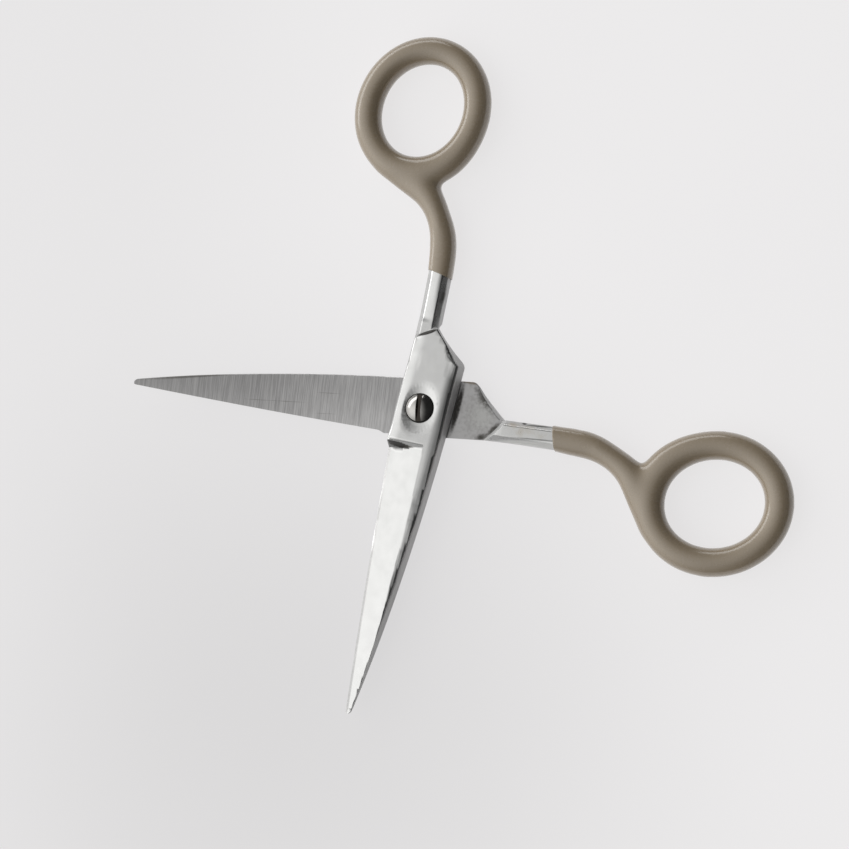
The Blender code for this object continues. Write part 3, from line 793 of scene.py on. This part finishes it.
@dataclass
class Forging:
    """A forged half: blade, boss, shank and ring core."""

    side: str
    finish: SteelFinish
    to_half: Matrix
    dish: Dish | None = None
    softness: float = 0.32 * MM
    sharp_share: float = 0.19
    shank_share: float = 0.85
    sharp_angle: float = radians(38)
    bevel_end: float = 6.8 * MM
    soft_steps: int = 3
    edge_angle: float = radians(28)
    keen_angle: float = radians(135)
    shank: tuple[float, float] = (-32 * MM, -16.3 * MM)
    shank_ramp: float = 2.2 * MM
    shank_cuts: int = 8
    cut_step: float = 0.3 * MM
    cut_span: tuple[float, float] = (-6.6 * MM, 5.4 * MM)
    long_step: float = 1.5 * MM
    long_span: tuple[float, float] = (-31.0 * MM, 61.0 * MM)
    boss_step: float = 0.45 * MM
    boss_span: tuple[float, float] = (-6.9 * MM, 6.8 * MM)
    flat_angle: float = radians(0.2)
    dish_rim: tuple[float, float] = (0.9, 1.1)
    long_share: float = 0.7
    boss_edge: tuple[float, float] = (3 * MM, 2 * MM)

    def build(self) -> bpy.types.Object:
        """Crown the outer face and soften the edges.

        Returns:
            The finished half.
        """
        bm = merged_copy(f"{self.side}_blade")
        bmesh.ops.dissolve_limit(bm, angle_limit=self.flat_angle, verts=bm.verts,
                                 edges=bm.edges)
        self.turn_over(bm, self.to_half)
        crowns = [(crown, crown.edge_line(bm)) for crown in CROWNS]
        for i in range(self.shank_cuts):
            x = self.shank[1] - self.shank_ramp * i / (self.shank_cuts - 1)
            bmesh.ops.bisect_plane(bm, geom=bm.verts[:] + bm.edges[:] + bm.faces[:],
                                   dist=CUT_SLACK, plane_co=(x, 0, 0), plane_no=(1, 0, 0))
        self.weigh_edges(bm)
        mat = self.finish.material()
        rough = add_piece(f"{self.side}_half_rough", bm, mat)
        soften = rough.modifiers.new("softened edges", "BEVEL")
        soften.width = self.softness
        soften.segments = self.soft_steps
        soften.limit_method = "WEIGHT"
        soften.use_clamp_overlap = False
        bm = baked(rough)
        bm.normal_update()
        self.grid(bm)
        if self.dish:
            self.dish.soften(bm)
        for crown, line in crowns:
            crown.lower(bm, line)
        self.turn_over(bm, self.to_half.inverted())
        piece = add_piece(f"{self.side}_half_steel", bm, mat)
        piece.data.set_sharp_from_angle(angle=self.sharp_angle)
        even = piece.modifiers.new("even shading", "WEIGHTED_NORMAL")
        even.keep_sharp = True
        return piece

    @staticmethod
    def turn_over(bm: bmesh.types.BMesh, matrix: Matrix) -> None:
        """Move a shape into another frame and keep its faces pointing out.

        Args:
            bm: The shape.
            matrix: The move, which may mirror.
        """
        bm.transform(matrix)
        if matrix.determinant() < 0:
            bmesh.ops.reverse_faces(bm, faces=bm.faces)
        bm.normal_update()

    def grid(self, bm: bmesh.types.BMesh) -> None:
        """Divide the outer face finely enough to curve.

        Args:
            bm: The half in its own frame.
        """
        cuts = self.planes(self.cut_span, self.cut_step, Vector((0, 1, 0)))
        cuts += self.planes(self.long_span, self.long_step, Vector((1, 0, 0)))
        cuts += self.planes(self.boss_span, self.boss_step, Vector((1, 0, 0)))
        for point, normal in cuts:
            faces = [f for f in bm.faces if f.normal.z > OUTER_UP
                     and f.calc_center_median().z > OUTER_LEAST
                     and f.calc_center_median().x > self.shank[0]]
            parts = faces + list({e for f in faces for e in f.edges})
            parts += list({v for f in faces for v in f.verts})
            bmesh.ops.bisect_plane(bm, geom=parts, dist=CUT_SLACK, plane_co=point,
                                   plane_no=normal)

    @staticmethod
    def planes(span: tuple[float, float], step: float, way: Vector) -> list[tuple]:
        """Evenly spaced planes.

        Args:
            span: The first and last place.
            step: The distance between them.
            way: Their normal.

        Returns:
            A point and the normal of each plane.
        """
        count = int((span[1] - span[0]) / step) + 1
        return [(way * (span[0] + i * step), way) for i in range(count)]

    def weigh_edges(self, bm: bmesh.types.BMesh) -> None:
        """Mark how far each edge is rounded: the shank's long corners fully, others lightly.

        Args:
            bm: The half in its own frame.
        """
        layer = bm.edges.layers.float.new("bevel_weight_edge")
        for edge in bm.edges:
            angle = edge.calc_face_angle(0.0) if len(edge.link_faces) == 2 else 0.0
            if not self.edge_angle < angle < self.keen_angle:
                continue
            low, high = sorted(v.co.x for v in edge.verts)
            centre = (edge.verts[0].co + edge.verts[1].co) / 2
            out = self.dish.out(centre.x, centre.y) if self.dish else 0.0
            if centre.x > self.bevel_end or self.dish_rim[0] < out < self.dish_rim[1]:
                continue
            along = high - low > self.long_share * edge.calc_length()
            middle = (low + high) / 2
            on_shank = along and low > self.shank[0] and middle < self.shank[1]
            share = min(1.0, (self.shank[1] - middle) / self.shank_ramp) if on_shank else 0.0
            share = self.sharp_share + (self.shank_share - self.sharp_share) * share
            on_boss = centre.y > self.boss_edge[0] and centre.z > self.boss_edge[1]
            if on_boss and low > self.shank[1]:
                share = 1.0
            edge[layer] = share

    def dress(self, piece: bpy.types.Object) -> None:
        """Tell the frame what the half stands for.

        Args:
            piece: The finished half.
        """
        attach(piece, f"{self.side}_half")
        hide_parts(f"{self.side}_blade")


@dataclass
class DippedCoat:
    """The vinyl coat over a shank and finger ring."""

    side: str
    finish: VinylFinish
    mouth_turn: float
    neck_turn: float
    joint: tuple[float, float, float]
    voxel: float = 0.28 * MM
    wall: float = 0.14 * MM
    passes: int = 90
    run_on: float = 3.0 * MM
    joint_reach: float = 8.0 * MM
    fill_rounds: int = 40
    fill_passes: int = 10
    last_passes: int = 3
    end_up: float = 0.98

    def build(self) -> bpy.types.Object:
        """Smooth the coat's outside and give it a thin wall.

        Returns:
            The finished coat.
        """
        bm, mouth, outward = self.outside()
        mat = self.finish.material()
        rough = add_piece(f"{self.side}_coat_rough", bm, mat)
        remesh = rough.modifiers.new("even skin", "REMESH")
        remesh.mode = "VOXEL"
        remesh.voxel_size = self.voxel
        bm = baked(rough)
        depth = self.depth(bm)
        for _ in range(self.passes):
            self.relax(bm, list(bm.verts))
        bm.normal_update()
        lost = (depth - self.depth(bm)) / 2
        for vert in bm.verts:
            vert.co += vert.normal * lost
        self.fill(bm)
        for _ in range(self.last_passes):
            self.relax(bm, list(bm.verts))
        bmesh.ops.bisect_plane(bm, geom=bm.verts[:] + bm.edges[:] + bm.faces[:],
                               plane_co=mouth, plane_no=outward, clear_outer=True)
        bmesh.ops.recalc_face_normals(bm, faces=bm.faces)
        piece = add_piece(f"{self.side}_vinyl_coat", bm, mat)
        wall = piece.modifiers.new("coat wall", "SOLIDIFY")
        wall.thickness = self.wall
        wall.offset = -1.0
        return piece

    @staticmethod
    def depth(bm: bmesh.types.BMesh) -> float:
        """How thick the coat is from its underside to its top."""
        heights = [v.co.z for v in bm.verts]
        return max(heights) - min(heights)

    @staticmethod
    def relax(bm: bmesh.types.BMesh, verts: list[bmesh.types.BMVert]) -> None:
        """Even the surface of the coat once, at the vertices that may move."""
        bmesh.ops.smooth_vert(bm, verts=verts, factor=0.5, use_axis_x=True, use_axis_y=True,
                              use_axis_z=True)

    def fill(self, bm: bmesh.types.BMesh) -> None:
        """Fill the hollow where the shank meets the ring, as the dip does.

        Args:
            bm: The coat.
        """
        near = [v for v in bm.verts if (v.co - Vector(self.joint)).length < self.joint_reach]
        for _ in range(self.fill_rounds):
            bm.normal_update()
            hollow = []
            for vert in near:
                others = [e.other_vert(vert).co for e in vert.link_edges]
                pull = sum(others, Vector()) / len(others) - vert.co
                if pull.dot(vert.normal) > 0:
                    hollow.append(vert)
            for _ in range(self.fill_passes):
                self.relax(bm, hollow)

    def outside(self) -> tuple[bmesh.types.BMesh, Vector, Vector]:
        """Keep the coat's outer surface and run it on past its mouth.

        Returns:
            The closed outer form, a point in the plane of the mouth, and the plane's normal.
        """
        bm = merged_copy(f"{self.side}_grip")
        hint = Vector((cos(self.mouth_turn), sin(self.mouth_turn), 0.0))
        reach = max(v.co.dot(hint) for v in bm.verts)
        ends = [f for f in bm.faces if f.normal.dot(hint) > self.end_up
                and f.calc_center_median().dot(hint) > reach - MM]
        normal = sum((f.normal for f in ends), Vector()).normalized()
        bmesh.ops.delete(bm, geom=ends, context="FACES")
        rims = self.loops([e for e in bm.edges if e.is_boundary])
        rims.sort(key=lambda rim: sum(e.calc_length() for e in rim))
        inside = self.flood(rims[0][0].verts[0])
        bmesh.ops.delete(bm, geom=list(inside), context="VERTS")
        rim = [e for e in bm.edges if e.is_boundary]
        corners = list({v for e in rim for v in e.verts})
        mouth = sum((v.co for v in corners), Vector()) / len(corners)
        made = bmesh.ops.extrude_edge_only(bm, edges=rim)["geom"]
        moved = [item for item in made if isinstance(item, bmesh.types.BMVert)]
        axis = Vector((cos(self.neck_turn), sin(self.neck_turn), 0.0))
        bmesh.ops.translate(bm, vec=axis * self.run_on, verts=moved)
        rim = [e for e in bm.edges if e.is_boundary]
        bmesh.ops.contextual_create(bm, geom=rim)
        bmesh.ops.recalc_face_normals(bm, faces=bm.faces)
        return bm, mouth, normal

    @staticmethod
    def loops(edges: list[bmesh.types.BMEdge]) -> list[list[bmesh.types.BMEdge]]:
        """Sort boundary edges into loops.

        Args:
            edges: The edges.

        Returns:
            One list of edges for each loop.
        """
        left, found = set(edges), []
        while left:
            stack, loop = [left.pop()], []
            while stack:
                edge = stack.pop()
                loop.append(edge)
                for vert in edge.verts:
                    for other in vert.link_edges:
                        if other in left:
                            left.discard(other)
                            stack.append(other)
            found.append(loop)
        return found

    @staticmethod
    def flood(start: bmesh.types.BMVert) -> set[bmesh.types.BMVert]:
        """Everything joined to a vertex.

        Args:
            start: Where to begin.

        Returns:
            The vertices of that part of the mesh.
        """
        seen, stack = {start}, [start]
        while stack:
            for edge in stack.pop().link_edges:
                for vert in edge.verts:
                    if vert not in seen:
                        seen.add(vert)
                        stack.append(vert)
        return seen

    def dress(self, piece: bpy.types.Object) -> None:
        """Tell the frame what the coat stands for.

        Args:
            piece: The finished coat.
        """
        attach(piece, f"{self.side}_half")
        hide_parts(f"{self.side}_grip")


@dataclass
class PivotScrew:
    """The slotted pivot screw, turned and then slotted."""

    finish: ScrewFinish
    head_radius: float = 2.64 * MM
    rim_base: float = 5.0 * MM
    rim_top: float = 5.83 * MM
    dome: float = 1.0 * MM
    shaft_radius: float = 1.5 * MM
    slot_width: float = 1.0 * MM
    slot_depth: float = 1.0 * MM
    slot_turn: float = radians(92)
    dome_steps: int = 12
    turn_steps: int = 96
    softness: float = 0.06 * MM
    soft_steps: int = 3
    sharp_angle: float = radians(30)

    def build(self) -> bpy.types.Object:
        """Turn the screw and cut its slot.

        Returns:
            The finished screw.
        """
        bm = bmesh.new()
        ball = (self.head_radius ** 2 + self.dome ** 2) / (2 * self.dome)
        lean = asin(self.head_radius / ball)
        turns = [i * lean / self.dome_steps for i in range(self.dome_steps + 1)]
        profile = [(ball * sin(turn), self.rim_top + self.dome - ball * (1 - cos(turn)))
                   for turn in turns]
        profile += [(self.head_radius, self.rim_base), (self.shaft_radius, self.rim_base),
                    (self.shaft_radius, 0.0), (0.0, 0.0)]
        verts = [bm.verts.new((radius, 0.0, z)) for radius, z in profile]
        edges = [bm.edges.new(pair) for pair in zip(verts, verts[1:])]
        bmesh.ops.spin(bm, geom=verts + edges, axis=(0, 0, 1), cent=(0, 0, 0), angle=2 * pi,
                       steps=self.turn_steps, use_merge=True)
        bmesh.ops.remove_doubles(bm, verts=bm.verts, dist=WELD)
        bmesh.ops.recalc_face_normals(bm, faces=bm.faces)
        mat = self.finish.material()
        blank = add_piece("screw_blank", bm, mat)
        cutter = self.slot_cutter(mat)
        cut = blank.modifiers.new("slot", "BOOLEAN")
        cut.solver = "EXACT"
        cut.object = cutter
        bm = baked(blank)
        bpy.data.objects.remove(cutter)
        piece = add_piece("slotted_screw", bm, mat)
        soften = piece.modifiers.new("softened edges", "BEVEL")
        soften.width = self.softness
        soften.segments = self.soft_steps
        soften.limit_method = "ANGLE"
        soften.angle_limit = self.sharp_angle
        soften.harden_normals = True
        return piece

    def slot_cutter(self, mat: bpy.types.Material) -> bpy.types.Object:
        """The bar that cuts the slot.

        Args:
            mat: Any material.

        Returns:
            The cutter.
        """
        bm = bmesh.new()
        bmesh.ops.create_cube(bm, size=1.0)
        size = (self.head_radius * 3, self.slot_width, self.slot_depth * 2)
        bmesh.ops.scale(bm, vec=size, verts=bm.verts)
        bmesh.ops.rotate(bm, cent=(0, 0, 0), matrix=Matrix.Rotation(self.slot_turn, 3, "Z"),
                         verts=bm.verts)
        bmesh.ops.translate(bm, vec=(0, 0, self.rim_top + self.dome), verts=bm.verts)
        return add_piece("slot_cutter", bm, mat)

    def dress(self, piece: bpy.types.Object) -> None:
        """Tell the frame what the screw stands for.

        Args:
            piece: The finished screw.
        """
        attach(piece, "back_half")
        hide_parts("pivot_screw")


@dataclass
class Studio:
    """A pale light table, a soft sky, one broad soft light and the camera."""

    yaw: float = radians(14.48)
    tilt: float = radians(-6.49)
    distance: float = 450 * MM
    aim: tuple[float, float] = (0.328 * MM, -2.942 * MM)
    lens: float = SENSOR * 2285.1 / 849
    clip: float = 10 * MM
    floor_half: float = 1.5
    floor_drop: float = 0.05 * MM
    floor_lit: tuple[float, float, float] = (0.16, 0.158, 0.159)
    floor_glow: tuple[float, float, float] = (0.735, 0.726, 0.730)
    floor_mottle: tuple[float, float] = (14.0, 0.012)
    # Painted shade on the table: darker round this place and towards the west.
    painted_shade_centre: tuple[float, float] = (-0.02, -0.06)
    painted_shade_round: Step = (0.0, 0.105, 0.86, 1.0)
    painted_shade_side: Step = (-0.05, 0.02, 0.95, 1.0)
    window_turn: float = 128.0
    window_rise: float = 20.0
    window_size: tuple[float, float] = (1.7, 0.34)
    window_radiance: float = 2.4
    window_away: float = 1.0
    sky_turn: float = 188.0
    sky_rise: float = 37.0
    sky_focus: float = 2.1
    sky_peak: float = 1.59
    sky_least: float = 0.03

    def to_part(self, vector: Vector) -> Vector:
        """Turn a direction in the picture, x to the right and y up, into the part's own."""
        return Matrix.Rotation(-PICTURE_TURN, 3, "Z") @ vector

    def camera(self) -> None:
        """Stand the camera where the picture was taken from."""
        yaw, tilt = self.yaw, self.tilt
        right = Vector((cos(yaw), 0, -sin(yaw)))
        up = Vector((-sin(tilt) * sin(yaw), cos(tilt), -sin(tilt) * cos(yaw)))
        back = Vector((cos(tilt) * sin(yaw), sin(tilt), cos(tilt) * cos(yaw)))
        centre = right * self.aim[0] + up * self.aim[1] + back * self.distance
        axes = (self.to_part(right), self.to_part(up), self.to_part(back))
        turn = Matrix(axes).transposed().to_4x4()
        place = self.to_part(centre) + Vector((0, 0, PIVOT_HEIGHT))
        data = bpy.data.cameras.new("camera")
        data.lens = self.lens
        data.sensor_width = SENSOR
        data.clip_start = self.clip
        eye = bpy.data.objects.new("camera", data)
        eye.matrix_world = Matrix.Translation(place) @ turn
        bpy.context.scene.collection.objects.link(eye)
        bpy.context.scene.camera = eye

    def towards(self, azimuth: float, height: float) -> Vector:
        """The direction to a place in the sky.

        Args:
            azimuth: Its direction in the picture, in degrees from east to north.
            height: Its height above the horizon in degrees.

        Returns:
            The direction in the part's frame.
        """
        turn, rise = radians(azimuth), radians(height)
        return self.to_part(Vector((cos(rise) * cos(turn), cos(rise) * sin(turn), sin(rise))))

    def window(self) -> None:
        """Hang the low, broad, soft light."""
        width, height = self.window_size
        data = bpy.data.lights.new("low_window", "AREA")
        data.shape = "RECTANGLE"
        data.size, data.size_y = width, height
        data.energy = self.window_radiance * pi * width * height
        to_light = self.towards(self.window_turn, self.window_rise)
        lamp = bpy.data.objects.new("low_window", data)
        lamp.location = to_light * self.window_away
        lamp.rotation_euler = to_light.to_track_quat("Z", "Y").to_euler()
        bpy.context.scene.collection.objects.link(lamp)

    def sky(self) -> None:
        """Light the scene from one broad pale side of the sky; the other side is dark."""
        world = bpy.data.worlds.new("soft_sky")
        bpy.context.scene.world = world
        world.use_nodes = True
        graph = Graph(world.node_tree)
        way = graph.node("TexCoord").outputs["Generated"]
        brightest = self.towards(self.sky_turn, self.sky_rise)
        near = graph.node("VectorMath", {0: way, 1: brightest},
                          operation="DOT_PRODUCT").outputs["Value"]
        lobe = graph.maths(Mode.POWER, graph.ramp_line(near, 0.0, 1.0), self.sky_focus)
        strength = graph.maths(Mode.MULTIPLY, lobe, self.sky_peak)
        surface = world.node_tree.nodes["Background"]
        graph.feed(surface.inputs["Strength"], graph.maths(Mode.ADD, strength, self.sky_least))
        surface.inputs["Color"].default_value = (1.0, 0.998, 0.99, 1.0)

    def floor(self) -> None:
        """Lay the pale table, with painted shade that darkens it round one place and towards the
        west.
        """
        bm = bmesh.new()
        bmesh.ops.create_grid(bm, x_segments=1, y_segments=1, size=self.floor_half)
        bmesh.ops.translate(bm, vec=(0, 0, -self.floor_drop), verts=bm.verts)
        mat, graph, shader = new_material("pale_table")
        place = graph.node("TexCoord").outputs["Object"]
        mottle = graph.group(MOTTLE, {"Vector": place, "Scale": self.floor_mottle[0],
                                      "Amount": self.floor_mottle[1]}).outputs[0]
        centre = self.to_part(Vector((*self.painted_shade_centre, 0.0)))
        local = graph.local(place, -PICTURE_TURN, centre)
        away = graph.node("VectorMath", {0: local}, operation="LENGTH").outputs["Value"]
        side = graph.node("SeparateXYZ", {0: local}).outputs["X"]
        # Painted fall-off of light, in both the table's colour and its glow.
        fade = graph.maths(Mode.MULTIPLY, graph.ramp(away, *self.painted_shade_round),
                           graph.ramp(side, *self.painted_shade_side))
        shade = graph.maths(Mode.ADD, mottle, fade)
        graph.feed(shader.inputs["Base Color"], graph.tint(self.floor_lit, shade))
        graph.feed(shader.inputs["Emission Color"], graph.tint(self.floor_glow, shade))
        shader.inputs["Emission Strength"].default_value = 1.0
        shader.inputs["Roughness"].default_value = 0.9
        shader.inputs["Specular IOR Level"].default_value = 0.1
        add_piece("pale_table", bm, mat)

    def build(self) -> None:
        """Set the camera, floor and lights."""
        self.camera()
        self.floor()
        self.sky()
        self.window()
        bpy.context.scene.view_settings.view_transform = "Standard"


DARK = (0.03, 0.028, 0.025)
GRIME = (0.10, 0.095, 0.085)
SOOT = (0.065, 0.062, 0.055)
TARNISH = (0.36, 0.27, 0.17)
# Stainings, tints and worn places on the back half, with painted shadow and painted reflection
# where marked.
BACK_STAINS_AND_PAINTED_LIGHT = (
    # Painted shadow and dark reflection on the back's ride beside the front half's wall, with
    # some grime.
    StainOrPaintedLight((-6.9, -0.85, 2.8), (0.8, 6.2, 0.3), DARK, 0.95, -8.8, 0.4, 0.6),
    StainOrPaintedLight((-12.3, -2.9, 2.8), (4.4, 1.45, 0.3), SOOT, 0.97, -50.0, 0.9, 0.85, 1500.0),
    StainOrPaintedLight((-9.0, -6.15, 2.8), (2.4, 0.45, 0.3), (0.17, 0.13, 0.08), 0.7, -4.4, 0.9, 0.8),
    StainOrPaintedLight((-12.4, 4.3, 2.8), (1.7, 0.8, 0.3), SOOT, 0.95, 20.0, 0.8, 0.7, 1600.0),
    StainOrPaintedLight((-14.6, 2.6, 2.8), (2.4, 0.75, 0.3), SOOT, 0.95, 50.4, 0.7, 0.7),
    StainOrPaintedLight((-11.5, 0.0, 2.8), (5.0, 6.6, 0.3), (0.25, 0.245, 0.235), 0.4, 0.0, 2.4, 0.9, 1500.0),
    StainOrPaintedLight((-12.0, 0.3, 2.8), (3.6, 3.8, 0.3), (0.50, 0.50, 0.49), 0.7, 0.0, 1.6, 0.9, 1800.0),
    StainOrPaintedLight((-19.0, 1.7, 4.4), (1.7, 0.9, 1.6), TARNISH, 0.6, 0.0, 0.8, 0.9, 900.0),
    StainOrPaintedLight((-22.0, 2.6, 4.4), (6.0, 1.6, 1.6), (0.45, 0.40, 0.32), 0.5, 0.0, 1.5, 0.9, 500.0),
    StainOrPaintedLight((-21.0, 1.1, 4.4), (0.7, 0.35, 1.6), DARK, 0.8, 0.0, 0.5, 0.7),
    StainOrPaintedLight((-24.0, 1.35, 4.4), (4.0, 0.22, 1.6), DARK, 0.8, 0.0, 0.3, 0.7),
    # Painted reflection: a lighter strip along the back shank's edge facet, where it would mirror
    # the pale table.
    StainOrPaintedLight((-24.0, 4.9, 4.4), (9.0, 0.7, 1.8), (0.80, 0.80, 0.78), 0.7, 0.0, 0.2, 0.4),
    StainOrPaintedLight((-24.0, 4.02, 4.4), (8.5, 0.28, 1.6), DARK, 0.8, 0.0, 0.2, 0.7),
    StainOrPaintedLight((49.0, -2.5, 2.8), (13.0, 0.4, 0.3), GRIME, 0.7, 8.0, 0.5, 0.8),
    StainOrPaintedLight((31.0, 0.9, 2.8), (9.3, 0.12, 0.3), GRIME, 0.4, 1.8, 1.5, 0.9, 600.0),
    StainOrPaintedLight((19.7, -1.6, 2.8), (4.2, 0.10, 0.3), GRIME, 0.4, 2.0, 1.5, 0.9, 600.0),
    StainOrPaintedLight((20.2, 2.56, 2.8), (2.6, 0.10, 0.3), GRIME, 0.4, 2.7, 1.5, 0.9, 600.0),
)
# Stainings and tints on the front half, with painted shadows where marked.
FRONT_STAINS_AND_PAINTED_LIGHT = (
    # Painted shadow and dark reflection along the step where the boss ends at the blade.
    StainOrPaintedLight((7.85, 2.6, 4.6), (0.68, 3.0, 2.6), DARK, 0.96, 3.0, 0.8, 0.35, 3500.0),
    StainOrPaintedLight((7.8, 0.4, 5.0), (0.22, 1.5, 1.4), GRIME, 0.7, 0.0, 0.5, 0.6),
    StainOrPaintedLight((-22.6, 1.3, 4.4), (2.6, 0.9, 1.6), GRIME, 0.85, 4.0, 0.9, 0.9, 1200.0),
    # Painted shadow: a dark line along the step where the boss falls to the shank.
    StainOrPaintedLight((-14.8, 2.15, 5.6), (0.50, 2.6, 3.0), DARK, 0.97, -27.6, 0.2, 0.4),
    # Painted shadow: the gap round the screw head and its seat darkened.
    StainOrPaintedLight((0.0, 0.0, 4.7), (2.93, 2.93, 9.0), DARK, 0.95, 0.0, 0.0, 0.02),
)
BACK_STEEL = SteelFinish("back_steel", 0.0, 1.0, BACK_INNER_FACE, stains_and_painted_light=BACK_STAINS_AND_PAINTED_LIGHT)
FRONT_STEEL = SteelFinish("front_steel", OPEN_ANGLE, -1.0, FRONT_INNER_FACE,
                          stains_and_painted_light=FRONT_STAINS_AND_PAINTED_LIGHT)
BACK_TO_HALF = Matrix.Diagonal((1, 1, -1, 1)) @ Matrix.Translation((0, 0, -BACK_INNER_FACE))
FRONT_TO_HALF = (Matrix.Diagonal((1, -1, 1, 1)) @ Matrix.Rotation(-OPEN_ANGLE, 4, "Z")
                 @ Matrix.Translation((0, 0, -FRONT_INNER_FACE)))


def main() -> None:
    """Build, dress and report every piece."""
    logging.basicConfig(level=logging.INFO, format="%(name)s: %(message)s")
    Studio().build()
    vinyl = VinylFinish()
    parts = (
        Forging("back", BACK_STEEL, BACK_TO_HALF),
        Forging("front", FRONT_STEEL, FRONT_TO_HALF, Dish()),
        DippedCoat("back", vinyl, mouth_turn=radians(9.37), neck_turn=radians(-5.63),
                   joint=(-44.0 * MM, 7.0 * MM, PIVOT_HEIGHT)),
        DippedCoat("front", vinyl, mouth_turn=radians(72.83), neck_turn=radians(87.83),
                   joint=(1.1 * MM, -44.6 * MM, PIVOT_HEIGHT)),
        PivotScrew(ScrewFinish()),
    )
    for part in parts:
        piece = part.build()
        part.dress(piece)
        log.info("%s has %d faces before its modifiers", piece.name, len(piece.data.polygons))


if __name__ == "__main__":
    main()
